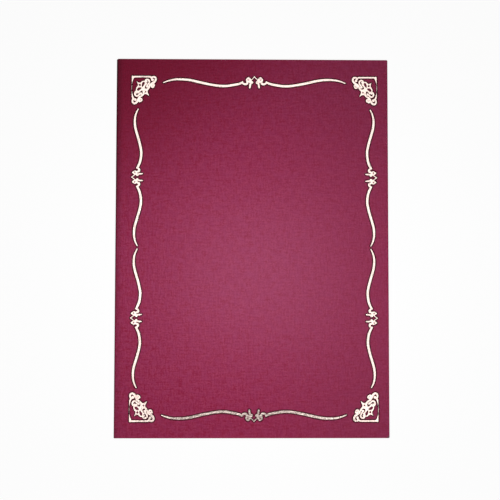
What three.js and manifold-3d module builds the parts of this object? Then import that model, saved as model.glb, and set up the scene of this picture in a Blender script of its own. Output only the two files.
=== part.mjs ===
// Diploma cover: one creased sheet of card, folded like a book, with a foil frame on its front.
// It lies closed on its back cover. X runs away from the fold, Y up the page and Z up.
// The origin is under the middle of the closed cover. All sizes are in millimetres.

import * as THREE from 'three';
import { mergeVertices } from 'three/addons/utils/BufferGeometryUtils.js';
import Module from 'manifold-3d';

const wasm = await Module();
wasm.setup();

// Card
const coverWidth = 220;
const coverHeight = 305;
const cardThickness = 0.5;
const gapBetweenCovers = 1.4;
const cornerRadius = 0.8;
const foldArcSteps = 14;
const cornerArcSteps = 4;

// Slits in the back cover that take the corners of the diploma. The sheet lies inside the cover
// with a clearance all round: 210 x 297 on a cover of this size.
const sheetClearanceAcross = 4.4;
const sheetClearanceDown = 4;
const slitLeg = 30;
const slitWidth = 0.8;
const slitOverrun = 0.5;

// Foil frame: margins from the cover's edges to the outer edge of the foil brackets
const foilThickness = 0.1;
const foldMargin = 12.4;
const openMargin = 8.9;
const topMargin = 13.9;
const bottomMargin = 12.9;

// Corner ornament: its overall size, and its gaps to the tips of the wavy runs
const ornamentAcross = 20.2;
const ornamentDown = 23.6;
const gapToRunAcross = 5.15;
const gapToRunDown = 3.3;

// Wavy runs: the depths of their crests inwards from the frame's outer line, and their widths
const crestDepth = 2.7;
const troughDepth = 8.1;
const tipDepth = 5.5;
const runWidth = 1.8;
const runTipWidth = 0.7;
const gapBetweenSideRuns = 2;

// Knot in the middle of each run: its length on the runs across and on those down the sides
const knotLengthAcross = 19.2;
const knotLengthDown = 14.8;
const knotDepth = 10.2;

// Steps of the drawn curves
const strokeTurnStep = 21 * Math.PI / 180;
const strokeLongStep = 6;
const discSteps = 20;
const smallDiscSteps = 12;
const drillSteps = 8;
const outlineTolerance = 0.026;

// The corner ornament and the knot are drawn on grids that are scaled to the sizes above
const ornamentGrid = 20.2;
const knotGridLength = 19.2;
const knotGridDepth = 10.2;

// Places worked out from the sizes above
const foldRadius = cardThickness + gapBetweenCovers / 2;
const foldInnerRadius = gapBetweenCovers / 2;
const foldX = -coverWidth / 2 + foldRadius;
const openX = coverWidth / 2;
const halfHeight = coverHeight / 2;
const frontUnderside = cardThickness + gapBetweenCovers;
const frontTop = frontUnderside + cardThickness;
const frameLeft = -coverWidth / 2 + foldMargin;
const frameRight = openX - openMargin;
const frameTop = halfHeight - topMargin;
const frameBottom = -halfHeight + bottomMargin;
const frameCentreX = (frameLeft + frameRight) / 2;
const frameCentreY = (frameBottom + frameTop) / 2;
const acrossReach = (frameRight - frameLeft) / 2 - ornamentAcross - gapToRunAcross;
const sideRoom = (frameTop - frameBottom) / 2 - ornamentDown - gapToRunDown;
const downReach = (sideRoom - gapBetweenSideRuns / 2) / 2;

// Finishes
const burgundyCard = { color: 0x8a2f4c, roughness: 0.62, metalness: 0 };
const paleGoldFoil = { color: 0xe9dcb8, roughness: 0.32, metalness: 1 };

// Turns a closed geometry into a solid that can be joined and cut.
function toSolid(geometry) {
  const bare = geometry.index ? geometry.toNonIndexed() : geometry;
  bare.deleteAttribute('normal');
  bare.deleteAttribute('uv');
  const merged = mergeVertices(bare, 1e-4);
  return new wasm.Manifold(new wasm.Mesh({
    numProp: 3,
    vertProperties: new Float32Array(merged.attributes.position.array),
    triVerts: new Uint32Array(merged.index.array),
  }));
}

// Turns a solid back into a geometry.
function toGeometry(solid) {
  const mesh = solid.getMesh();
  const geometry = new THREE.BufferGeometry();
  geometry.setAttribute('position', new THREE.BufferAttribute(mesh.vertProperties, mesh.numProp));
  geometry.setIndex(new THREE.BufferAttribute(mesh.triVerts, 1));
  geometry.computeVertexNormals();
  return geometry;
}

// A flat plate of the given outline, with its underside at height z.
function plate(shape, z, thickness, curveSegments = cornerArcSteps) {
  const geometry = new THREE.ExtrudeGeometry(shape, {
    depth: thickness,
    bevelEnabled: false,
    curveSegments,
  });
  geometry.translate(0, 0, z);
  return geometry;
}

// Outline of a cover: square at the fold, with slightly softened corners at the open edge.
function coverShape() {
  const r = cornerRadius;
  const shape = new THREE.Shape();
  shape.moveTo(foldX, -halfHeight);
  shape.lineTo(openX - r, -halfHeight);
  shape.absarc(openX - r, -halfHeight + r, r, -Math.PI / 2, 0);
  shape.lineTo(openX, halfHeight - r);
  shape.absarc(openX - r, halfHeight - r, r, 0, Math.PI / 2);
  shape.lineTo(foldX, halfHeight);
  return shape;
}

// One slit across a corner of the diploma, as a narrow four-sided hole.
function slitHole(signX, signY) {
  const cornerX = (foldX + openX) / 2 + signX * ((openX - foldX) / 2 - sheetClearanceAcross);
  const cornerY = signY * (halfHeight - sheetClearanceDown);
  const leg = slitLeg + slitOverrun;
  const half = slitWidth / 2 / Math.SQRT2;
  const hole = new THREE.Path();
  hole.moveTo(cornerX - signX * (leg + half), cornerY + signY * (slitOverrun - half));
  hole.lineTo(cornerX - signX * (leg - half), cornerY + signY * (slitOverrun + half));
  hole.lineTo(cornerX + signX * (slitOverrun + half), cornerY - signY * (leg - half));
  hole.lineTo(cornerX + signX * (slitOverrun - half), cornerY - signY * (leg + half));
  hole.closePath();
  return hole;
}

function backCover() {
  const shape = coverShape();
  for (const signX of [-1, 1]) {
    for (const signY of [-1, 1]) {
      shape.holes.push(slitHole(signX, signY));
    }
  }
  return plate(shape, 0, cardThickness);
}

function frontCover() {
  return plate(coverShape(), frontUnderside, cardThickness);
}

// The bend that joins the two covers: half a tube of card, along the whole height.
function spineFold() {
  const bend = new THREE.Shape();
  bend.absarc(foldX, foldRadius, foldRadius, Math.PI / 2, 1.5 * Math.PI);
  bend.absarc(foldX, foldRadius, foldInnerRadius, 1.5 * Math.PI, Math.PI / 2, true);
  const geometry = new THREE.ExtrudeGeometry(bend, {
    depth: coverHeight,
    bevelEnabled: false,
    curveSegments: foldArcSteps,
  });
  geometry.rotateX(Math.PI / 2);
  geometry.translate(0, halfHeight, 0);
  return geometry;
}

// A foil solid of the given outline, standing on the front cover.
function foil(shape) {
  return toSolid(plate(shape, frontTop, foilThickness, discSteps));
}

// How many straight steps draw a line well: more where it turns, few where it runs straight.
function stepsAlong(places) {
  let turning = 0;
  let length = 0;
  let before = null;
  for (let i = 1; i < places.length; i += 1) {
    const leg = places[i].clone().sub(places[i - 1]);
    length += leg.length();
    turning += before ? Math.abs(Math.atan2(before.cross(leg), before.dot(leg))) : 0;
    before = leg;
  }
  return Math.max(2, Math.ceil(turning / strokeTurnStep + length / strokeLongStep));
}

// A brush stroke on a drawing grid, along a smooth line through [a, b, width] stations.
function stroke(grid, ...stations) {
  const places = stations.map(([a, b]) => grid.at(a, b));
  const widths = stations.map(([, , width]) => width * grid.unit);
  const line = new THREE.SplineCurve(places);
  const steps = stepsAlong(places);
  const left = [];
  const right = [];
  for (let i = 0; i <= steps; i += 1) {
    const along = i / steps;
    const middle = line.getPoint(along);
    const tangent = line.getTangent(along);
    const span = along * (stations.length - 1);
    const before = Math.min(Math.floor(span), stations.length - 2);
    const width = THREE.MathUtils.lerp(widths[before], widths[before + 1], span - before);
    const aside = new THREE.Vector2(-tangent.y, tangent.x).multiplyScalar(width / 2);
    left.push(middle.clone().add(aside));
    right.unshift(middle.clone().sub(aside));
  }
  return foil(new THREE.Shape([...left, ...right]));
}

function disc(grid, a, b, radius, steps = discSteps) {
  const middle = grid.at(a, b);
  const spoke = new THREE.Vector2(radius * grid.unit, 0);
  const rim = [];
  for (let i = 0; i < steps; i += 1) {
    const turned = spoke.clone().rotateAround(new THREE.Vector2(), 2 * Math.PI * i / steps);
    rim.push(turned.add(middle));
  }
  return foil(new THREE.Shape(rim));
}

// A solid taller than the foil, for cutting a round hole through it.
function drill(grid, a, b, radius) {
  const middle = grid.at(a, b);
  const rim = new THREE.Shape();
  rim.absarc(middle.x, middle.y, radius * grid.unit, 0, 2 * Math.PI);
  return toSolid(plate(rim, frontTop - foilThickness, 3 * foilThickness, drillSteps));
}

// Joins foil solids into one piece and cuts the holes.
function foilPiece(solids, holes) {
  let piece = solids[0];
  for (const solid of solids.slice(1)) {
    piece = piece.add(solid);
  }
  for (const hole of holes) {
    piece = piece.subtract(hole);
  }
  return toGeometry(piece.asOriginal().simplify(outlineTolerance));
}

// A star round the place a, a of a grid, with four tips on its diagonals and hollow sides.
function star(grid, a, tip, waist) {
  const tips = [[-tip, -tip], [tip, -tip], [tip, tip], [-tip, tip]];
  const pull = 2 * waist - tip;
  const shape = new THREE.Shape();
  const first = grid.at(a - tip, a - tip);
  shape.moveTo(first.x, first.y);
  tips.forEach(([u, v], i) => {
    const [nextU, nextV] = tips[(i + 1) % tips.length];
    const hollow = grid.at(a + Math.sign(u + nextU) * pull, a + Math.sign(v + nextV) * pull);
    const next = grid.at(a + nextU, a + nextV);
    shape.quadraticCurveTo(hollow.x, hollow.y, next.x, next.y);
  });
  return toSolid(plate(shape, frontTop, foilThickness, cornerArcSteps));
}

// Half of a corner ornament, on one side of its diagonal. On its grid, a runs along this half's
// bracket arm and b inwards from it, both from the outer corner of the bracket.
function cornerHalf(grid) {
  const ring = (degrees) => {
    const turn = degrees * Math.PI / 180;
    return [12.5 + 1.675 * Math.cos(turn), 4.25 + 1.675 * Math.sin(turn), 1.25];
  };
  return [
    // Bracket arm, ending in a curl
    stroke(grid, [0, 0.6, 1.2], [7.6, 0.6, 1.2], [14.5, 0.6, 1.2]),
    stroke(grid, [13.8, 0.6, 1.2], [14.8, 0.7, 1.2], [15.8, 1.4, 1.3], [16.6, 2.7, 1.4]),
    disc(grid, 16.7, 2.8, 1.05, smallDiscSteps),
    // Outer sweep from the body round the end scroll
    stroke(
      grid,
      [9.2, 9.2, 2.6],
      [11.2, 9.75, 1.7],
      [12.8, 9.35, 1.4],
      [13.9, 8.2, 1.35],
      [14.6, 6.8, 1.5],
      [15.6, 5.75, 1.5],
      [17.3, 4.9, 1.7],
      [18.7, 3.8, 1.6],
      [19.4, 2.4, 1.5],
      [19.0, 1.15, 1.4],
      [17.8, 0.65, 1.35],
      [16.6, 0.85, 1.3],
      [15.7, 1.3, 1.2],
    ),
    // Leaf lobe on the outer sweep
    disc(grid, 16.8, 7.2, 1.55),
    disc(grid, 17.6, 6.5, 1.1, smallDiscSteps),
    disc(grid, 16.0, 5.9, 1.1, smallDiscSteps),
    // Big scroll, which swings down into an inner curl
    stroke(
      grid,
      ...[104, 150, 195, 240, 280, 320, 360, 400].map(ring),
      [12.95, 6.2, 1.1],
      [12.5, 6.85, 1.1],
      [12.4, 7.4, 1.3],
    ),
    disc(grid, 11.7, 4.1, 0.85, smallDiscSteps),
    disc(grid, 12.4, 7.4, 0.95, smallDiscSteps),
    // Stem from the body up to the scroll
    stroke(grid, [8.9, 9.0, 2.2], [10.0, 7.3, 1.3], [11.25, 5.45, 1.2]),
    // Tip of the near star that reaches the scroll
    stroke(grid, [7.6, 5.3, 1.5], [8.6, 4.2, 1.0], [9.8, 3.8, 0.8], [11, 4.1, 0.9]),
  ];
}

// A corner ornament. signX and signY point from the bracket's corner into the page.
function cornerOrnament(cornerX, cornerY, signX, signY) {
  const across = signX * ornamentAcross / ornamentGrid;
  const down = signY * ornamentDown / ornamentGrid;
  const unit = ornamentAcross / ornamentGrid;
  const grid = { unit, at: (a, b) => new THREE.Vector2(cornerX + a * across, cornerY + b * down) };
  const flipped = { unit, at: (a, b) => grid.at(b, a) };
  const fillet = [[0.6, 0.6], [2.3, 0.6], [2.3, 1.2], [1.6, 1.6], [1.2, 2.3], [0.6, 2.3]];
  const nearStar = 6.5;
  const farStar = 11.2;
  const solids = [
    ...cornerHalf(grid),
    ...cornerHalf(flipped),
    foil(new THREE.Shape(fillet.map(([a, b]) => grid.at(a, b)))),
    star(grid, nearStar, 2.6, 1.55),
    star(grid, farStar, 2.35, 1.55),
    // Long tip that points into the page
    stroke(grid, [12.2, 12.2, 1.8], [13.2, 13.2, 0.9], [14, 14, 0.15]),
    disc(grid, 9.2, 9.2, 1.5, smallDiscSteps),
  ];
  const holes = [
    drill(grid, nearStar, nearStar, 0.85),
    drill(grid, farStar, farStar, 0.64),
    drill(grid, 17.0, 7.1, 0.34),
    drill(flipped, 17.0, 7.1, 0.34),
  ];
  return foilPiece(solids, holes);
}

// Half of a knot. On its grid, a runs along the run from the middle of the knot and b inwards
// from the frame's outer line. share is the knot's length against the long one.
function knotHalf(grid, share) {
  const bead = 2.15 * share;
  const beadDepth = 3.2;
  const drop = 1.5 * share;
  const dropEnd = share < 1 ? 0.5 * drop : 0.85 * drop;
  return [
    // Band that dips from the run into the knot
    stroke(grid, [9.8, 4.9, 1.1], [8.9, 6, 1.5], [7.5, 6.6, 1.7], [6.1, 6, 1.8], [5.1, 4.8, 2]),
    // Pointed bead with a lobe
    disc(grid, 4.8, beadDepth, bead),
    stroke(grid, [4.9, 0.8, 0.5 * bead], [4.85, 2.2, 1.5 * bead]),
    stroke(grid, [4.6, beadDepth, bead * 1.4], [3.4, 4.3, bead * 1.3], [2.3, 5.1, bead]),
    disc(grid, 2.2, 5.1, bead * 0.53, smallDiscSteps),
    // Drop that hangs from the knot, and narrows to its end in the knots down the sides
    stroke(grid, [3, 5.2, 1.1], [3.3, 6.4, drop], [3.6, 7.7, drop], [3.75, 9.2, dropEnd]),
    disc(grid, 3.75, 9.3, dropEnd / 2, smallDiscSteps),
    // Thin angle that bridges the two halves of the knot
    stroke(grid, [-0.25, 0.15, 0.62], [1.2, 1.75, 0.62], [2.9, 3.3, 0.62]),
  ];
}

// Half of a wavy run: from the end of the knot over a trough and a crest to its pointed tip.
function waveHalf(at, reach, knotHalfLength) {
  const middle = (crestDepth + troughDepth) / 2;
  const step = knotDepth / knotGridDepth;
  return stroke(
    { at, unit: 1 },
    [knotHalfLength - 0.3 * step, 4.1 * step, 0.3 * runWidth],
    [knotHalfLength + 0.5 * step, 5.0 * step, 0.8 * runWidth],
    [knotHalfLength + 2 * step, 5.9 * step, 0.95 * runWidth],
    [0.22 * reach, troughDepth - 0.2 * (troughDepth - crestDepth), runWidth],
    [0.335 * reach, troughDepth, runWidth],
    [0.45 * reach, troughDepth - 0.15 * (troughDepth - crestDepth), runWidth],
    [0.58 * reach, middle, runWidth],
    [0.70 * reach, crestDepth + 0.13 * (troughDepth - crestDepth), runWidth],
    [0.81 * reach, crestDepth, 0.9 * runWidth],
    [0.91 * reach, crestDepth + 0.11 * (troughDepth - crestDepth), 0.7 * runWidth],
    [reach, tipDepth, runTipWidth],
  );
}

// A whole run. at(a, d) gives the place a along it from the middle of its knot and d inwards.
function run(at, reach, knotLength) {
  const along = knotLength / knotGridLength;
  const inwards = knotDepth / knotGridDepth;
  const share = knotLength / knotLengthAcross;
  const solids = [];
  const holes = [];
  for (const side of [1, -1]) {
    const sideAt = (a, d) => at(side * a, d);
    const grid = { unit: inwards, at: (a, b) => sideAt(a * along, b * inwards) };
    solids.push(waveHalf(sideAt, reach, knotLength / 2), ...knotHalf(grid, share));
    // A short slit through the bead, and the notch between the bead and the drop
    holes.push(drill(grid, 4.6, 3.1, 0.42), drill(grid, 5.3, 2.9, 0.42));
    holes.push(drill(grid, 4.55, 5.75, 0.5));
  }
  return foilPiece(solids, holes);
}

// Foil pieces, by name
function foilGeometries() {
  const pieces = {
    foil_corner_top_left: cornerOrnament(frameLeft, frameTop, 1, -1),
    foil_corner_top_right: cornerOrnament(frameRight, frameTop, -1, -1),
    foil_corner_bottom_left: cornerOrnament(frameLeft, frameBottom, 1, 1),
    foil_corner_bottom_right: cornerOrnament(frameRight, frameBottom, -1, 1),
  };
  const across = { top: [frameTop, -1], bottom: [frameBottom, 1] };
  for (const [name, [edge, inwards]] of Object.entries(across)) {
    const at = (a, d) => new THREE.Vector2(frameCentreX + a, edge + inwards * d);
    pieces[`foil_run_${name}`] = run(at, acrossReach, knotLengthAcross);
  }
  const down = { left: [frameLeft, 1], right: [frameRight, -1] };
  const half = downReach + gapBetweenSideRuns / 2;
  for (const [name, [edge, inwards]] of Object.entries(down)) {
    for (const [part, middleY] of [['upper', frameCentreY + half], ['lower', frameCentreY - half]]) {
      const at = (a, d) => new THREE.Vector2(edge + inwards * d, middleY + a);
      pieces[`foil_run_${name}_${part}`] = run(at, downReach, knotLengthDown);
    }
  }
  return pieces;
}

function addMesh(group, name, geometry, finish) {
  const mesh = new THREE.Mesh(geometry, new THREE.MeshStandardMaterial(finish));
  mesh.name = name;
  group.add(mesh);
}

const diplomaCover = new THREE.Group();
addMesh(diplomaCover, 'back_cover', backCover(), burgundyCard);
addMesh(diplomaCover, 'spine_fold', spineFold(), burgundyCard);
addMesh(diplomaCover, 'front_cover', frontCover(), burgundyCard);
for (const [name, geometry] of Object.entries(foilGeometries())) {
  addMesh(diplomaCover, name, geometry, paleGoldFoil);
}

export default diplomaCover;
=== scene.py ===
"""Diploma cover: a folded cover of burgundy linen card with a gold foil frame stamped on its front.

It lies shut on a white table and is seen from above. Lengths are in metres.
"""

import math

import bmesh
import bpy
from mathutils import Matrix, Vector


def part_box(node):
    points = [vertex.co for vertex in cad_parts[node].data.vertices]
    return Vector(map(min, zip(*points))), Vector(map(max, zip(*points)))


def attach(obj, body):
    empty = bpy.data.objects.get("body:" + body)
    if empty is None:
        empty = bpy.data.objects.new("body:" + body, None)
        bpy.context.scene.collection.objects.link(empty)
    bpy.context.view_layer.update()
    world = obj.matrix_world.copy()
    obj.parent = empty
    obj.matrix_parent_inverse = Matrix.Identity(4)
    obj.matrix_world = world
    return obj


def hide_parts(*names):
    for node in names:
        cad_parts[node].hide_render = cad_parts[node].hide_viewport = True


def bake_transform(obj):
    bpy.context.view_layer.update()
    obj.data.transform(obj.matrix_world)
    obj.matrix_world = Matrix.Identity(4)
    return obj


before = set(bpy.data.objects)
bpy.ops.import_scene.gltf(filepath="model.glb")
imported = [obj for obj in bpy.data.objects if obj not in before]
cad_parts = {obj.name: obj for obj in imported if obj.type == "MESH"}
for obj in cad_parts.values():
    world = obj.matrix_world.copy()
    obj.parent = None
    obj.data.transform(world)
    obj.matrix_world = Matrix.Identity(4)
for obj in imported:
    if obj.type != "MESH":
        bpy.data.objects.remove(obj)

bl_info = {
    "name": "Diploma cover",
    "version": (1, 0, 0),
    "blender": (4, 5, 0),
    "location": "3D View > Sidebar > Diploma cover",
    "description": "Builds the card and the stamped foil of a diploma cover, and its studio",
    "category": "Object",
}

MM = 0.001

# The foil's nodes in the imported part
CORNERS = (
    "foil_corner_top_left",
    "foil_corner_top_right",
    "foil_corner_bottom_left",
    "foil_corner_bottom_right",
)
RUNS = (
    "foil_run_top",
    "foil_run_bottom",
    "foil_run_left_upper",
    "foil_run_left_lower",
    "foil_run_right_upper",
    "foil_run_right_lower",
)

# The card's cross-section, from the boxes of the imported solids
BACK_LOW, BACK_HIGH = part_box("back_cover")
FRONT_LOW, FRONT_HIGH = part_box("front_cover")
FOLD_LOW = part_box("spine_fold")[0]
CARD = BACK_HIGH.z - BACK_LOW.z
FOLD_RADIUS = FRONT_HIGH.z / 2
FOLD_X = FOLD_LOW.x + FOLD_RADIUS
OPEN_X = FRONT_HIGH.x
HALF_HEIGHT = FRONT_HIGH.y
PANEL = OPEN_X - FOLD_X
MIDDLE_RADIUS = FOLD_RADIUS - CARD / 2
# Half of the length of the bend, along the middle of the card
HALF_BEND = MIDDLE_RADIUS * math.pi / 2
# Share of the half height, at each end of the fold, in which the fold is rounded off
FOLD_END = 0.1
# Edges of the card that turn by more than this are shaded sharp
SHARP_EDGE = math.radians(30)

# Where the slits lie: the diploma's clearance in the cover, and how far a slit runs past its leg
CLEARANCE_ACROSS = 4.4 * MM
CLEARANCE_DOWN = 4 * MM
SLIT_OVERRUN = 0.5 * MM

# Turns of a foil outline above this angle are corners, and smaller ones are facets of a curve
SHARP_TURN = math.radians(32)
# Steps that a facet of an outline is drawn with, and the fewest points of a whole outline
FACET_STEPS = 6
FEWEST_POINTS = 12

# The margin of painted shadow round the foil: its rise next to the foil and at its outer edge, and
# its reach under the foil
MARGIN_RISE = 0.02 * MM
MARGIN_EDGE_RISE = 0.001 * MM
MARGIN_TUCK = 0.15 * MM

# Names of the materials, and the sRGB colours in them
CARD_LOOK = "linen_embossed_card"
FOIL_LOOK = "hot_stamped_foil"
HOLLOW_RED = "840F32"
THREAD_RED = "932C4D"
CLOUD_PURPLE = "8A2650"
# Painted sheen, towards the open edge
SHEEN_GREY_RED = "83304C"
# Painted shade, near the top of the fold
SHADED_TOP_RED = "870A2C"
TIP_GREY = "564A4C"
FOIL_ROSE = "E8D2C6"
FOIL_CREAM = "F0DCD4"
PIT_RED = "7A3A40"
TABLE_WHITE = "F4F4F4"

# Light from the surroundings: on surfaces, in mirrors and as the backdrop that the eye sees
ROOM_FILL = 0.05
ROOM_MIRRORED = 0.4
ROOM_SEEN = 1.0
# The table: the share of its look that is its own glow, half of its side, and its height
TABLE_GLOW = 0.94
TABLE_REACH = 3.0
TABLE_TOP = -0.1 * MM
# Softboxes that shine straight down: name, setting of the power, size and place
SOFTBOXES = (
    ("key", "key_power", (0.17, 0.15), (0.001, -0.024, 0.24)),
    ("overhead", "overhead_power", (0.80, 0.81), (0.015, 0.135, 1.0)),
    ("left_side", "side_power", (0.54, 0.34), (-0.43, -0.36, 0.55)),
    ("right_side", "side_power", (0.54, 0.34), (0.42, -0.36, 0.55)),
)
# The camera: sensor and lens in millimetres, clipping, place, and turns in degrees
SENSOR_WIDTH = 36
LENS = 49.46
CLIP_START, CLIP_END = 0.01, 20
CAMERA_AT = (-0.0079, -0.0231, 0.5545)
CAMERA_TURN = (2.136, -0.652, 0.096)


class DiplomaCoverSettings(bpy.types.PropertyGroup):
    crushed_corner: bpy.props.FloatProperty(
        name="Crushed corner",
        description="How far the top end of the fold is rounded off",
        default=1.9 * MM,
        unit="LENGTH",
    )
    corner_radius: bpy.props.FloatProperty(
        name="Corner radius",
        description="Radius of the cut corners of the card",
        default=0.8 * MM,
        unit="LENGTH",
    )
    edge_bevel: bpy.props.FloatProperty(
        name="Edge bevel",
        description="Softening of the cut edges of the card",
        default=0.1 * MM,
        unit="LENGTH",
    )
    slit_leg: bpy.props.FloatProperty(
        name="Slit leg",
        description="How far along the diploma's edge a slit takes its corner",
        default=30 * MM,
        unit="LENGTH",
    )
    slit_width: bpy.props.FloatProperty(
        name="Slit width",
        description="Width of the slits in the back of the cover",
        default=0.8 * MM,
        unit="LENGTH",
    )
    foil_spacing: bpy.props.FloatProperty(
        name="Foil spacing",
        description="Distance between the points of the foil's outlines",
        default=0.12 * MM,
        unit="LENGTH",
    )
    foil_softness: bpy.props.IntProperty(
        name="Foil softness",
        description="How often the foil's outlines are smoothed",
        default=3,
    )
    foil_bevel: bpy.props.FloatProperty(
        name="Foil bevel",
        description="Rounding of the rim of the foil",
        default=0.03 * MM,
        unit="LENGTH",
    )
    # The margin of painted shadow that stands for the shade of the die's pressed step round the
    # foil
    margin_width: bpy.props.FloatProperty(
        name="Pressed margin",
        description="Width of the dark margin that the die presses round the foil",
        default=1.25 * MM,
        unit="LENGTH",
    )
    margin_spacing: bpy.props.FloatProperty(
        name="Margin spacing",
        description="Distance between the points of the pressed margin's outlines",
        default=0.25 * MM,
        unit="LENGTH",
    )
    key_power: bpy.props.FloatProperty(
        name="Key power",
        description="Power of the lamp above the middle of the cover, in watts",
        default=0.52,
    )
    overhead_power: bpy.props.FloatProperty(
        name="Overhead power",
        description="Power of the wide softbox high above, in watts",
        default=2.4,
    )
    side_power: bpy.props.FloatProperty(
        name="Side power",
        description="Power of each softbox beside the bottom corners, in watts",
        default=0.75,
    )


# Materials

def linear(code):
    """The linear colour of an sRGB hex code, with alpha 1."""
    values = [int(code[i:i + 2], 16) / 255 for i in (0, 2, 4)]
    return (*[v / 12.92 if v <= 0.04045 else ((v + 0.055) / 1.055) ** 2.4 for v in values], 1.0)


class Nodes:
    """A node tree under construction."""

    def __init__(self, tree):
        self.tree = tree
        tree.nodes.clear()

    def add(self, kind, settings=None, **inputs):
        """Adds a node with its settings. An input is a value or another node's output."""
        node = self.tree.nodes.new(kind)
        for name, value in (settings or {}).items():
            setattr(node, name, value)
        for name, value in inputs.items():
            key = int(name[1:]) if name[1:].isdigit() else name.replace("_", " ")
            if isinstance(value, bpy.types.NodeSocket):
                self.tree.links.new(value, node.inputs[key])
            else:
                node.inputs[key].default_value = value
        return node


def new_material(name):
    material = bpy.data.materials.new(name)
    material.use_nodes = True
    return material, Nodes(material.node_tree)


def maths(nodes, operation, *values):
    """The result of a Math node on the given values."""
    inputs = {f"i{i}": value for i, value in enumerate(values)}
    return nodes.add("ShaderNodeMath", {"operation": operation}, **inputs).outputs[0]


def noise(nodes, at, size, stretch=(1, 1, 1), detail=2.0):
    """A noise whose features are about size metres across, longer where stretch is above 1."""
    scale = tuple(1 / (size * s) for s in stretch)
    place = nodes.add(
        "ShaderNodeVectorMath", {"operation": "MULTIPLY"}, i0=at, i1=scale
    ).outputs[0]
    return nodes.add(
        "ShaderNodeTexNoise", {"noise_dimensions": "3D"}, Vector=place, Scale=1.0, Detail=detail
    ).outputs["Fac"]


def ramp(nodes, value, low, high, to_low=0.0, to_high=1.0):
    """value taken smoothly from the range low..high to to_low..to_high, and held outside it."""
    return nodes.add(
        "ShaderNodeMapRange",
        {"interpolation_type": "SMOOTHSTEP"},
        Value=value, i1=low, i2=high, i3=to_low, i4=to_high,
    ).outputs[0]


def mix(nodes, share, a, b, blend="MIX"):
    """Colour a turned to b by share."""
    node = nodes.add("ShaderNodeMix", {"data_type": "RGBA", "blend_type": blend}, i0=share)
    for key, value in ((6, a), (7, b)):
        if isinstance(value, bpy.types.NodeSocket):
            nodes.tree.links.new(value, node.inputs[key])
        else:
            node.inputs[key].default_value = value
    return node.outputs[2]


def any_ray(nodes, path, *kinds):
    """1 for a ray of any of these kinds, and 0 for the others."""
    result = path.outputs[f"Is {kinds[0]} Ray"]
    for kind in kinds[1:]:
        result = maths(nodes, "MAXIMUM", result, path.outputs[f"Is {kind} Ray"])
    return result


def attribute(nodes, name):
    """The node that reads an attribute of the mesh."""
    return nodes.add(
        "ShaderNodeAttribute", {"attribute_type": "GEOMETRY", "attribute_name": name}
    )


def linen_relief(nodes, at):
    """Height, from 0 to 1, of a linen embossing: threads both ways, over fibres."""
    # Real linen embossing has a thread about every 0.4 mm. It is drawn coarser, so that its grain
    # still shows where the whole cover is in view.
    thread = 1.4 * MM
    across = noise(nodes, at, thread, (1, 5, 1))
    along = noise(nodes, at, thread, (5, 1, 1))
    fibre = noise(nodes, at, 1.6 * MM, detail=4.0)
    threads = maths(nodes, "MULTIPLY", maths(nodes, "ADD", across, along), 0.35)
    return maths(nodes, "MULTIPLY_ADD", fibre, 0.3, threads)


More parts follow.
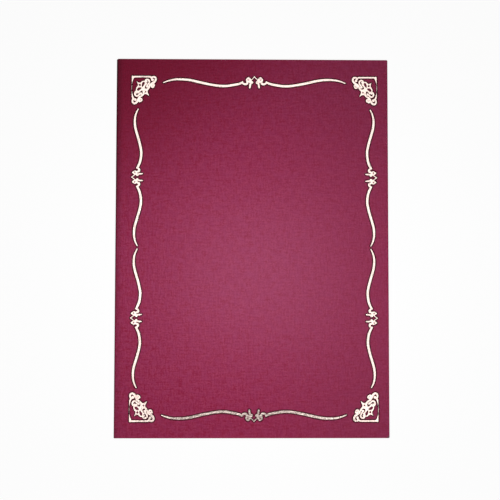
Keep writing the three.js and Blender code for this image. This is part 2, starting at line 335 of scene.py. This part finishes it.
def card_material():
    """Burgundy dyed card, linen embossed in a roller press.

    To the eye: a deep wine red that stays matt, with a fine grain whose pale thread tops are partly
    painted glints of sheen, a pale dusty sheen where a lamp stands over it, painted shade along the
    fold and near its top, a painted sheen that greys it towards the open edge, a narrow margin of
    painted shadow round the foil, and a dark grey tip at the open bottom corner.
    """
    material, nodes = new_material(CARD_LOOK)
    at = attribute(nodes, "laid_flat").outputs["Vector"]
    place = nodes.add("ShaderNodeSeparateXYZ", i0=at)
    from_fold, up = maths(nodes, "ABSOLUTE", place.outputs["X"]), place.outputs["Y"]
    grain = linen_relief(nodes, at)
    cloud = noise(nodes, at, 5 * MM)
    speckle = noise(nodes, at, 1.1 * MM, detail=1.0)

    # The tops of the threads are paler than the hollows between them: a grain, partly painted
    # glints of sheen on the threads
    grain_and_glints = maths(nodes, "MULTIPLY_ADD", speckle, 0.3, grain)
    thread = ramp(nodes, grain_and_glints, 0.52, 0.78)
    colour = mix(nodes, thread, linear(HOLLOW_RED), linear(THREAD_RED))
    clouded = ramp(nodes, cloud, 0.3, 0.7, 0.0, 0.4)
    colour = mix(nodes, clouded, colour, linear(CLOUD_PURPLE))
    # Painted sheen greys the colour towards the open edge, and painted shade makes it deepest near
    # the top of the fold
    open_edge_sheen = ramp(nodes, from_fold, 0.08, 0.22, 0.0, 0.33)
    colour = mix(nodes, open_edge_sheen, colour, linear(SHEEN_GREY_RED))
    to_fold_top = maths(nodes, "MULTIPLY_ADD", from_fold, -0.8, up)
    top_shade = ramp(nodes, to_fold_top, 0.0, 0.14, 0.0, 0.8)
    colour = mix(nodes, top_shade, colour, linear(SHADED_TOP_RED))
    # Random speckle times painted shade that darkens towards the top of the fold
    shade = maths(
        nodes, "MULTIPLY",
        ramp(nodes, speckle, 0.25, 0.75, 0.97, 1.03),
        ramp(nodes, to_fold_top, -0.02, 0.15, 1.0, 0.8),
    )
    # Painted shade along the fold, darker towards its top end
    painted_fold_shade = maths(
        nodes, "MULTIPLY_ADD", ramp(nodes, from_fold, 0.8 * MM, 2.8 * MM, 1.0, 0.0), 0.5,
        ramp(nodes, from_fold, 0.5 * MM, 7 * MM, 0.8, 0.0),
    )
    height = ramp(nodes, up, -HALF_HEIGHT, HALF_HEIGHT, 0.3, 0.62)
    dark = maths(nodes, "MULTIPLY", painted_fold_shade, height)
    # Painted shadow in a narrow margin round the foil, carried by the margin piece
    pressed = attribute(nodes, "pressed").outputs["Fac"]
    dark = maths(nodes, "MAXIMUM", dark, maths(nodes, "MULTIPLY", pressed, 0.92))
    # The painted shade is redder than the sheet
    red_share, full_share = 0.85, 1.0
    red, rest = [
        maths(nodes, "MULTIPLY", shade, maths(nodes, "MULTIPLY_ADD", dark, -share, 1.0))
        for share in (red_share, full_share)
    ]
    tone = nodes.add("ShaderNodeCombineColor", i0=red, i1=rest, i2=rest).outputs[0]
    colour = mix(nodes, 1.0, colour, tone, "MULTIPLY")
    # The tip at the open bottom corner turns a dark grey
    tip = (HALF_BEND + PANEL, -HALF_HEIGHT, 0.0)
    to_tip = nodes.add("ShaderNodeVectorMath", {"operation": "DISTANCE"}, i0=at, i1=tip)
    ragged = maths(nodes, "MULTIPLY_ADD", speckle, 2 * MM, to_tip.outputs["Value"])
    tip_grey = ramp(nodes, ragged, 2.2 * MM, 3.8 * MM, 0.75, 0.0)
    colour = mix(nodes, tip_grey, colour, linear(TIP_GREY))

    bump = nodes.add("ShaderNodeBump", Strength=1.0, Distance=0.4 * MM, Height=grain)
    waves = nodes.add(
        "ShaderNodeBump",
        Strength=1.0, Distance=0.25 * MM, Height=noise(nodes, at, 45 * MM, detail=1.0),
        Normal=bump.outputs[0],
    )
    surface = nodes.add(
        "ShaderNodeBsdfPrincipled",
        Base_Color=colour,
        Roughness=0.42,
        Specular_IOR_Level=0.17,
        Specular_Tint=(0.65, 0.7, 1.0, 1.0),
        Normal=waves.outputs[0],
    )
    nodes.add("ShaderNodeOutputMaterial", Surface=surface.outputs[0])
    return material


def foil_material():
    """Pale gold foil, hot stamped on the embossed card.

    To the eye: a bright champagne metal that takes over the light above it, broken up by the
    card's grain and by pits where the foil didn't take.
    """
    material, nodes = new_material(FOIL_LOOK)
    at = nodes.add("ShaderNodeTexCoord").outputs["Object"]
    grain = linen_relief(nodes, at)
    speckle = noise(nodes, at, 0.9 * MM, detail=2.0)
    metal = mix(nodes, ramp(nodes, speckle, 0.3, 0.7), linear(FOIL_ROSE), linear(FOIL_CREAM))
    bump = nodes.add("ShaderNodeBump", Strength=1.0, Distance=0.35 * MM, Height=grain)
    foil = nodes.add(
        "ShaderNodeBsdfPrincipled",
        Base_Color=metal, Metallic=1.0, Roughness=0.15, Normal=bump.outputs[0],
    )
    card = nodes.add("ShaderNodeBsdfPrincipled", Base_Color=linear(PIT_RED), Roughness=0.6)
    pits = ramp(nodes, noise(nodes, at, 0.45 * MM, detail=1.0), 0.70, 0.76)
    whole = nodes.add("ShaderNodeMixShader", i0=pits, i1=foil.outputs[0], i2=card.outputs[0])
    nodes.add("ShaderNodeOutputMaterial", Surface=whole.outputs[0])
    return material


def table_material():
    """White laminate table top under even studio light.

    To the eye: a plain white, paper-like ground that the object barely darkens.
    """
    material, nodes = new_material("white_laminate")
    paint = nodes.add(
        "ShaderNodeBsdfPrincipled", Base_Color=linear(TABLE_WHITE), Roughness=0.9,
        Specular_IOR_Level=0.0,
    )
    glow = nodes.add("ShaderNodeEmission", Color=(1, 1, 1, 1), Strength=1.0)
    path = nodes.add("ShaderNodeLightPath")
    seen = any_ray(nodes, path, "Camera", "Glossy", "Transmission")
    seen = maths(nodes, "MULTIPLY", seen, TABLE_GLOW)
    both = nodes.add("ShaderNodeMixShader", i0=seen, i1=paint.outputs[0], i2=glow.outputs[0])
    nodes.add("ShaderNodeOutputMaterial", Surface=both.outputs[0])
    return material


# Meshes

def in_scene(name, data):
    """A new object with this mesh, curve, light or camera, in the scene."""
    obj = bpy.data.objects.new(name, data)
    bpy.context.scene.collection.objects.link(obj)
    return obj


def new_object(name, bm):
    """An object made of a bmesh, which is freed."""
    mesh = bpy.data.meshes.new(name)
    bm.to_mesh(mesh)
    bm.free()
    return in_scene(name, mesh)


def evaluated_mesh(obj):
    """A mesh of its own for what an object's curve or modifiers make."""
    graph = bpy.context.evaluated_depsgraph_get()
    return bpy.data.meshes.new_from_object(obj.evaluated_get(graph))


def wear(obj, material):
    """Gives an object this material alone."""
    obj.data.materials.clear()
    obj.data.materials.append(material)


# Card

def laid_flat(x, y, z):
    """A place on the folded card as (along, up, depth) on the unfolded sheet.

    along is 0 in the middle of the bend and grows over the front; depth is 0 on the outside.
    """
    if x < FOLD_X:
        turn = math.atan2(z - FOLD_RADIUS, FOLD_X - x)
        depth = FOLD_RADIUS - math.hypot(z - FOLD_RADIUS, x - FOLD_X)
        return (turn * MIDDLE_RADIUS, y, depth)
    if z > FOLD_RADIUS:
        return (HALF_BEND + x - FOLD_X, y, 2 * FOLD_RADIUS - z)
    return (-HALF_BEND - x + FOLD_X, y, z)


def note_flat_places(mesh):
    """Keeps every vertex's place on the unfolded sheet, for the card's texture."""
    places = mesh.attributes.new("laid_flat", "FLOAT_VECTOR", "POINT")
    for vertex, place in zip(mesh.vertices, places.data):
        place.vector = laid_flat(*vertex.co)


def round_off(distance, radius):
    """How far a corner of that radius cuts in, at a distance from the side of the shape."""
    if distance >= radius:
        return 0.0
    return radius - math.sqrt(max(0.0, radius ** 2 - (radius - distance) ** 2))


def section_stations():
    """Places round the C of the cross-section, from the back's open edge to the front's.

    Each is (share, angle): share is the way from the fold to the open edge on a panel, and angle
    the way round the bend, from 0 at the bottom to 180 degrees on top.
    """
    columns = 20
    near_fold = [0.004, 0.009, 0.016, 0.025, 0.04]
    near_edge = [0.975, 0.99, 0.9965]
    shares = near_fold + [i / columns for i in range(2, columns)] + near_edge
    # Close steps where the bend leaves the panels, wide ones where the hinge turns it
    angles = [0, 11, 22, 33, 44, 54, 72, 90, 108, 126, 136, 147, 158, 169, 180]
    back = [(share, 0) for share in reversed(shares)]
    front = [(share, 180) for share in shares]
    return back + [(0.0, angle) for angle in angles] + front


def rows_up():
    """Heights of the rows of the sheet as shares of its half height, from -1 to 1."""
    half_rows = 12
    ends = [0.9995, 0.9985, 0.997, 0.994, 0.989, 0.98, 0.965]
    middle = [i / half_rows for i in range(1 - half_rows, half_rows)]
    return [-share for share in ends] + middle + ends[::-1]


def card_grid(settings):
    """Points of the sheet: columns round its section, each with rows of (outer, inner) points."""
    bevel = settings.edge_bevel
    radius = settings.corner_radius
    stations = [(1.0, 0)] + section_stations() + [(1.0, 180)]
    rows = [-1.0] + rows_up() + [1.0]
    grid = []
    for share, angle in stations:
        turn = math.radians(angle)
        outwards = Vector((-math.sin(turn), 0, -math.cos(turn)))
        column = []
        for row in rows:
            # The open edge draws back at its corners
            to_end = HALF_HEIGHT * (1 - abs(row))
            open_x = OPEN_X - round_off(to_end, radius)
            x = FOLD_X + share * (open_x - FOLD_X)
            middle = Vector((x, 0, FOLD_RADIUS)) + outwards * MIDDLE_RADIUS
            # The ends of the fold are rounded off, the top one more
            crush = settings.crushed_corner if row > 0 else radius
            end_zone = max(0.0, (abs(row) - (1 - FOLD_END)) / FOLD_END)
            shorter = end_zone * round_off(middle.x - FOLD_LOW.x, crush)
            height = row * HALF_HEIGHT - math.copysign(shorter, row)
            at_rim = share == 1.0 or abs(row) == 1.0
            half = CARD / 2 - (bevel if at_rim else 0.0)
            middle.y = height
            column.append((middle + outwards * half, middle - outwards * half))
        grid.append(column)
    return grid


def slit_cutters(settings):
    """Thin upright blades that cut the four diagonal slits in the back."""
    leg = settings.slit_leg + SLIT_OVERRUN
    half = settings.slit_width / 2 / math.sqrt(2)
    cutter = bmesh.new()
    for side in (-1, 1):
        for end in (-1, 1):
            corner = Vector((
                (FOLD_X + OPEN_X) / 2 + side * (PANEL / 2 - CLEARANCE_ACROSS),
                end * (HALF_HEIGHT - CLEARANCE_DOWN),
                0,
            ))
            places = (
                (leg + half, SLIT_OVERRUN - half),
                (leg - half, SLIT_OVERRUN + half),
                (-SLIT_OVERRUN - half, half - leg),
                (half - SLIT_OVERRUN, -half - leg),
            )
            lower, upper = [], []
            for inwards, beyond in places:
                point = corner + Vector((-side * inwards, end * beyond, 0))
                lower.append(cutter.verts.new(point + Vector((0, 0, -CARD))))
                upper.append(cutter.verts.new(point + Vector((0, 0, 2 * CARD))))
            cutter.faces.new(lower)
            cutter.faces.new(upper)
            for i in range(4):
                j = (i + 1) % 4
                cutter.faces.new((lower[i], lower[j], upper[j], upper[i]))
    bmesh.ops.recalc_face_normals(cutter, faces=cutter.faces)
    return new_object("slit_cutters", cutter)


def card_sheet(settings):
    """The whole card as one sheet: back, fold and front, with its slits."""
    bm = bmesh.new()
    grid = [
        [(bm.verts.new(outer), bm.verts.new(inner)) for outer, inner in column]
        for column in card_grid(settings)
    ]
    for left, right in zip(grid, grid[1:]):
        for (a, a_in), (b, b_in), (c, c_in), (d, d_in) in zip(left, right, right[1:], left[1:]):
            bm.faces.new((a, b, c, d))
            bm.faces.new((a_in, d_in, c_in, b_in))
        for row in (0, -1):
            bm.faces.new((left[row][0], left[row][1], right[row][1], right[row][0]))
    for column in (grid[0], grid[-1]):
        for low, high in zip(column, column[1:]):
            bm.faces.new((low[0], high[0], high[1], low[1]))
    bmesh.ops.recalc_face_normals(bm, faces=bm.faces)
    sheet = new_object("folded_card_sheet", bm)
    cutter = slit_cutters(settings)
    cut = sheet.modifiers.new("slits", "BOOLEAN")
    cut.operation = "DIFFERENCE"
    cut.solver = "EXACT"
    cut.object = cutter
    mesh = evaluated_mesh(sheet)
    sheet.modifiers.clear()
    sheet.data = mesh
    mesh.name = "folded_card_sheet"
    bpy.data.objects.remove(cutter)
    mesh.shade_smooth()
    mesh.set_sharp_from_angle(angle=SHARP_EDGE)
    note_flat_places(mesh)
    return sheet


# Foil

def outlines(node):
    """The closed outlines of the flat top of a CAD node, as lists of (x, y)."""
    same_point, same_height = 0.0005 * MM, 0.01 * MM
    bm = bmesh.new()
    bm.from_mesh(node.data)
    bmesh.ops.remove_doubles(bm, verts=bm.verts, dist=same_point)
    top = max(vertex.co.z for vertex in bm.verts) - same_height
    for face in bm.faces:
        face.tag = all(vertex.co.z > top for vertex in face.verts)
    # The rim runs along each edge that has only one face of the top beside it. The faces are taken
    # in the mesh's own order, so that every outline always starts at the same point.
    following = {}
    for face in bm.faces:
        for loop in face.loops:
            if face.tag and sum(other.tag for other in loop.edge.link_faces) == 1:
                following.setdefault(loop.vert, []).append(loop.link_loop_next.vert)
    found = []
    while following:
        start = next(iter(following))
        at, line = start, []
        while at in following:
            line.append((at.co.x, at.co.y))
            nexts = following[at]
            onward = nexts.pop()
            if not nexts:
                del following[at]
            at = onward
        found.append(line)
    bm.free()
    return found


def rounded(line):
    """A closed line with its long facets turned back into curves, and its corners kept."""
    points = [Vector(p) for p in line]
    edges = [b - a for a, b in zip(points, points[1:] + points[:1])]
    tangents = []
    for before, after in zip(edges[-1:] + edges[:-1], edges):
        smooth = before.angle(after, 0.0) < SHARP_TURN
        blend = before.normalized() * after.length + after.normalized() * before.length
        tangents.append(
            (blend.normalized(),) * 2 if smooth else (before.normalized(), after.normalized())
        )
    curve = []
    for i, (point, edge) in enumerate(zip(points, edges)):
        leaving = tangents[i][1] * edge.length
        arriving = tangents[(i + 1) % len(points)][0] * edge.length
        for step in range(FACET_STEPS):
            # A Hermite curve from this point to the next
            u = step / FACET_STEPS
            bow = u * (1 - u)
            straight = point + edge * (u * u * (3 - 2 * u))
            curve.append(straight + leaving * (bow * (1 - u)) - arriving * (bow * u))
    return curve


def resample(line, spacing):
    """Points at even steps along a closed line, once it is rounded."""
    points = rounded(line)
    ends = points[1:] + points[:1]
    lengths = [(b - a).length for a, b in zip(points, ends)]
    count = max(FEWEST_POINTS, round(sum(lengths) / spacing))
    step = sum(lengths) / count
    spaced, walked, wanted = [], 0.0, 0.0
    for a, b, length in zip(points, ends, lengths):
        while wanted < walked + length and len(spaced) < count:
            spaced.append(a.lerp(b, (wanted - walked) / length))
            wanted += step
        walked += length
    return spaced


def soften(points, times):
    """A closed line of even steps with its corners eased, each time over one step."""
    for _ in range(times):
        before = points[-1:] + points[:-1]
        after = points[1:] + points[:1]
        points = [(a + 2 * b + c) / 4 for a, b, c in zip(before, points, after)]
    return points


def length_of(points):
    """The length of a closed line."""
    return sum((b - a).length for a, b in zip(points, points[1:] + points[:1]))


def enclosed(points):
    """The area that a closed line goes round, which is below zero where it goes clockwise."""
    return sum(a.cross(b) for a, b in zip(points, points[1:] + points[:1])) / 2


def moved_out(points, distance):
    """A closed line moved to its right, which is away from the foil."""
    moved = []
    for i, point in enumerate(points):
        along = points[(i + 1) % len(points)] - points[i - 1]
        moved.append(point + Vector((along.y, -along.x)).normalized() * distance)
    return moved


def pressed_margin(settings):
    """The narrow margins of painted shadow round all the foil, where the die presses the card, as
    one piece.

    Each is a closed ring with a thin wedge for its section, from under the foil's rim outwards.
    """
    vertices, faces, pressed = [], [], []
    for node in CORNERS + RUNS:
        for line in outlines(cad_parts[node]):
            points = soften(resample(line, settings.margin_spacing), 1)
            width, fade = settings.margin_width, 0.0
            area = enclosed(points)
            if area < 0:
                # A hole in the foil has room for less, and is painted dark all over
                width, fade = min(width, -area / length_of(points)), 1.0
            inside = moved_out(points, -MARGIN_TUCK)
            between = soften(moved_out(points, width / 2), 1)
            outside = soften(moved_out(points, width), 1)
            # Each ring of points with its height above the card and how much painted shadow it
            # carries
            rings = (
                (inside, MARGIN_RISE, 1.0),
                (points, MARGIN_RISE, 1.0),
                (between, MARGIN_RISE / 2, 1.0),
                (outside, MARGIN_EDGE_RISE, fade),
                (inside, -MARGIN_RISE, 1.0),
            )
            first, count = len(vertices), len(points)
            for ring, rise, share in rings:
                vertices.extend((x, y, FRONT_HIGH.z + rise) for x, y in ring)
                pressed.extend([share] * count)
            for ring in range(len(rings)):
                start, end = first + ring * count, first + (ring + 1) % len(rings) * count
                for i in range(count):
                    j = (i + 1) % count
                    faces.append((start + i, end + i, end + j, start + j))
    mesh = bpy.data.meshes.new("pressed_margin")
    mesh.from_pydata(vertices, [], faces)
    mesh.attributes.new("pressed", "FLOAT", "POINT").data.foreach_set("value", pressed)
    margin = in_scene("pressed_margin", mesh)
    note_flat_places(mesh)
    mesh.shade_flat()
    return margin


def foil_piece(name, node, settings):
    """A foil piece over the outline of a CAD node, as thick as that node."""
    low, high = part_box(node)
    same_point = 0.001 * MM
    curve = bpy.data.curves.new(name, "CURVE")
    curve.dimensions = "2D"
    curve.fill_mode = "BOTH"
    curve.extrude = (high.z - low.z) / 2 - settings.foil_bevel
    curve.bevel_depth = settings.foil_bevel
    curve.bevel_resolution = 0
    # Drawn in by as much as the bevel then adds
    curve.offset = -settings.foil_bevel
    for line in outlines(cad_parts[node]):
        points = soften(resample(line, settings.foil_spacing), settings.foil_softness)
        spline = curve.splines.new("POLY")
        spline.points.add(len(points) - 1)
        spline.use_cyclic_u = True
        for place, point in zip(spline.points, points):
            place.co = (point.x, point.y, 0, 1)
    drawn = in_scene(name, curve)
    mesh = evaluated_mesh(drawn)
    bpy.data.objects.remove(drawn)
    bm = bmesh.new()
    bm.from_mesh(mesh)
    bmesh.ops.remove_doubles(bm, verts=bm.verts, dist=same_point)
    bmesh.ops.translate(bm, verts=bm.verts, vec=(0, 0, (low.z + high.z) / 2))
    piece = new_object(name, bm)
    piece.data.shade_flat()
    return piece


class DIPLOMA_OT_card(bpy.types.Operator):
    """Builds the folded card sheet and hides the three solids that it stands for"""

    bl_idname = "diploma.card"
    bl_label = "Folded card"

    def execute(self, context):
        sheet = card_sheet(context.scene.diploma_cover)
        wear(sheet, card_material())
        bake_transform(sheet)
        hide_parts("back_cover", "spine_fold", "front_cover")
        return {"FINISHED"}


def stamp(context, nodes):
    """Builds the foil pieces that stand for these CAD nodes."""
    material = bpy.data.materials.get(FOIL_LOOK) or foil_material()
    for node in nodes:
        piece = foil_piece(node.replace("foil", "stamped"), node, context.scene.diploma_cover)
        wear(piece, material)
        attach(piece, "front")
        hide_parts(node)


class DIPLOMA_OT_corners(bpy.types.Operator):
    """Stamps the four corner ornaments"""

    bl_idname = "diploma.corners"
    bl_label = "Foil corners"

    def execute(self, context):
        stamp(context, CORNERS)
        return {"FINISHED"}


class DIPLOMA_OT_runs(bpy.types.Operator):
    """Stamps the six wavy runs with their knots"""

    bl_idname = "diploma.runs"
    bl_label = "Foil runs"

    def execute(self, context):
        stamp(context, RUNS)
        return {"FINISHED"}


class DIPLOMA_OT_margin(bpy.types.Operator):
    """Adds the margin of painted shadow round the foil"""

    bl_idname = "diploma.margin"
    bl_label = "Pressed margin"

    def execute(self, context):
        margin = pressed_margin(context.scene.diploma_cover)
        wear(margin, bpy.data.materials.get(CARD_LOOK) or card_material())
        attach(margin, "front")
        return {"FINISHED"}


# Studio

def table_top():
    """The flat ground, just under the cover's own underside."""
    bm = bmesh.new()
    corners = ((-1, -1), (1, -1), (1, 1), (-1, 1))
    bm.faces.new(
        [bm.verts.new((x * TABLE_REACH, y * TABLE_REACH, TABLE_TOP)) for x, y in corners]
    )
    table = new_object("table_top", bm)
    wear(table, table_material())
    return table


def softbox(name, power, size, place):
    """A rectangular lamp that shines straight down and isn't seen itself."""
    light = bpy.data.lights.new(name, "AREA")
    light.shape = "RECTANGLE"
    light.size, light.size_y = size
    light.energy = power
    lamp = in_scene(name, light)
    lamp.location = place
    lamp.visible_camera = False
    return lamp


def white_room():
    """Surroundings that the eye sees as plain white, and that light the cover only a little."""
    world = bpy.data.worlds.new("white_room")
    world.use_nodes = True
    nodes = Nodes(world.node_tree)
    path = nodes.add("ShaderNodeLightPath")
    fill, mirrored, seen = [
        nodes.add("ShaderNodeBackground", Color=(1, 1, 1, 1), Strength=strength).outputs[0]
        for strength in (ROOM_FILL, ROOM_MIRRORED, ROOM_SEEN)
    ]
    lit = nodes.add("ShaderNodeMixShader", i0=any_ray(nodes, path, "Glossy"), i1=fill, i2=mirrored)
    straight = any_ray(nodes, path, "Camera", "Transmission")
    both = nodes.add("ShaderNodeMixShader", i0=straight, i1=lit.outputs[0], i2=seen)
    nodes.add("ShaderNodeOutputWorld", Surface=both.outputs[0])
    return world


def overhead_camera():
    """A camera above the cover, tilted a little."""
    data = bpy.data.cameras.new("camera")
    data.sensor_width = SENSOR_WIDTH
    data.lens = LENS
    data.clip_start, data.clip_end = CLIP_START, CLIP_END
    camera = in_scene("camera", data)
    camera.location = CAMERA_AT
    camera.rotation_euler = [math.radians(turn) for turn in CAMERA_TURN]
    return camera


class DIPLOMA_OT_studio(bpy.types.Operator):
    """Sets up the table, the lamps, the surroundings and the camera"""

    bl_idname = "diploma.studio"
    bl_label = "Studio"

    def execute(self, context):
        scene = context.scene
        settings = scene.diploma_cover
        table = table_top()
        lamps = [
            softbox(name, getattr(settings, power), size, place)
            for name, power, size, place in SOFTBOXES
        ]
        scene.world = white_room()
        scene.camera = overhead_camera()
        scene.view_settings.view_transform = "Standard"
        return {"FINISHED"}


class DIPLOMA_PT_sidebar(bpy.types.Panel):
    """Shows the diploma cover's settings and the buttons that build it"""

    bl_label = "Diploma cover"
    bl_idname = "DIPLOMA_PT_sidebar"
    bl_space_type = "VIEW_3D"
    bl_region_type = "UI"
    bl_category = "Diploma cover"

    def draw(self, context):
        layout = self.layout
        settings = context.scene.diploma_cover
        for name in settings.bl_rna.properties.keys():
            if name not in ("rna_type", "name"):
                layout.prop(settings, name)
        for operator in OPERATORS:
            layout.operator(operator.bl_idname)


OPERATORS = (
    DIPLOMA_OT_card,
    DIPLOMA_OT_corners,
    DIPLOMA_OT_runs,
    DIPLOMA_OT_margin,
    DIPLOMA_OT_studio,
)
CLASSES = (DiplomaCoverSettings, *OPERATORS, DIPLOMA_PT_sidebar)


def register():
    for each in CLASSES:
        bpy.utils.register_class(each)
    bpy.types.Scene.diploma_cover = bpy.props.PointerProperty(type=DiplomaCoverSettings)


def unregister():
    del bpy.types.Scene.diploma_cover
    for each in reversed(CLASSES):
        bpy.utils.unregister_class(each)


def main():
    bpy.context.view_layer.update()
    register()
    bpy.ops.diploma.card()
    bpy.ops.diploma.corners()
    bpy.ops.diploma.runs()
    bpy.ops.diploma.margin()
    bpy.ops.diploma.studio()


if __name__ == "__main__":
    main()
